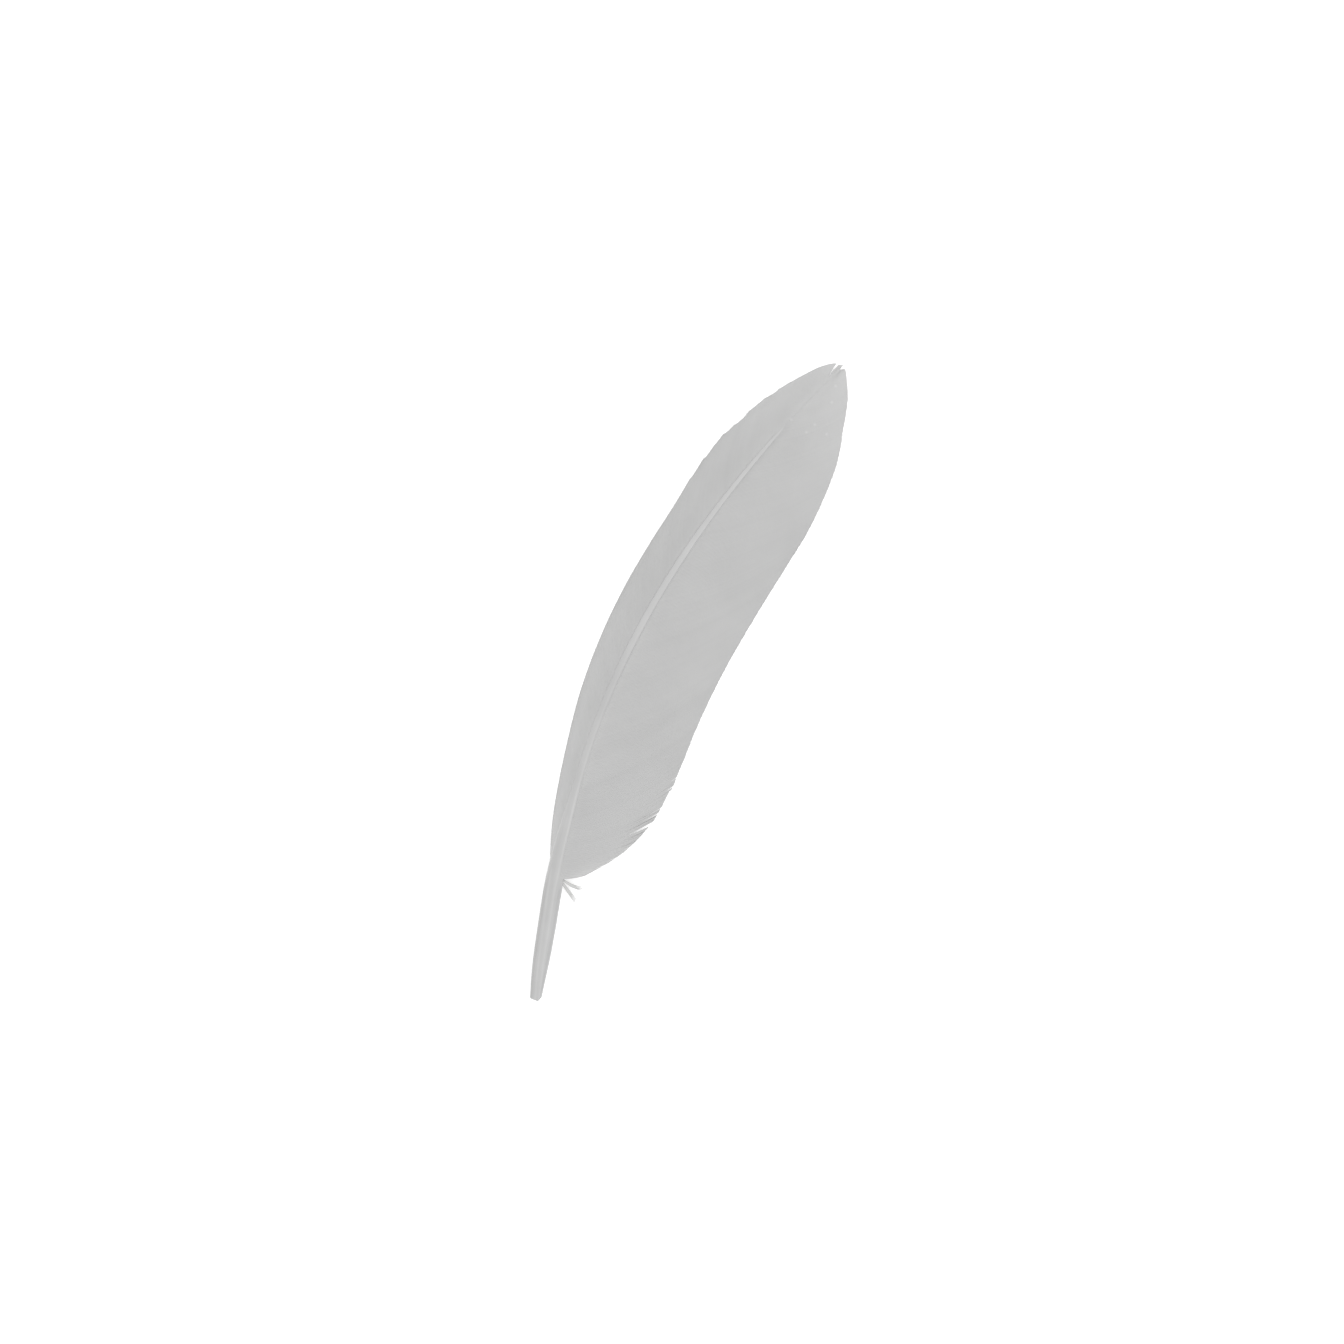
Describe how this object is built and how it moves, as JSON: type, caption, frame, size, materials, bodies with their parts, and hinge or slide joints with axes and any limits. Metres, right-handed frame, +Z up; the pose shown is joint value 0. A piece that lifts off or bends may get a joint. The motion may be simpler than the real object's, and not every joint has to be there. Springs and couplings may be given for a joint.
{
  "type": "goose quill feather",
  "caption": "Pale grey goose quill feather lying flat: trimmed round quill, curved tapering shaft, narrow leading vane, wide trailing vane and a slightly split tip.",
  "frame": {"origin": "under the middle of the feather's bounding box, on the surface it lies on", "axes": "+X from the cut quill end to the tip, +Y towards the narrow leading vane, +Z up from the surface, out of the feather's back"},
  "size_m": [0.1502, 0.0304, 0.005],
  "materials": {
    "vane": "soft satin of fine parallel barbs, pale neutral grey",
    "shaft": "satin horn-like keratin, slightly paler than the vanes",
    "down": "fluffy loose barbs, thin and slightly see-through"
  },
  "bodies": {
    "root": {"feather": "vane"}
  },
  "joints": []
}
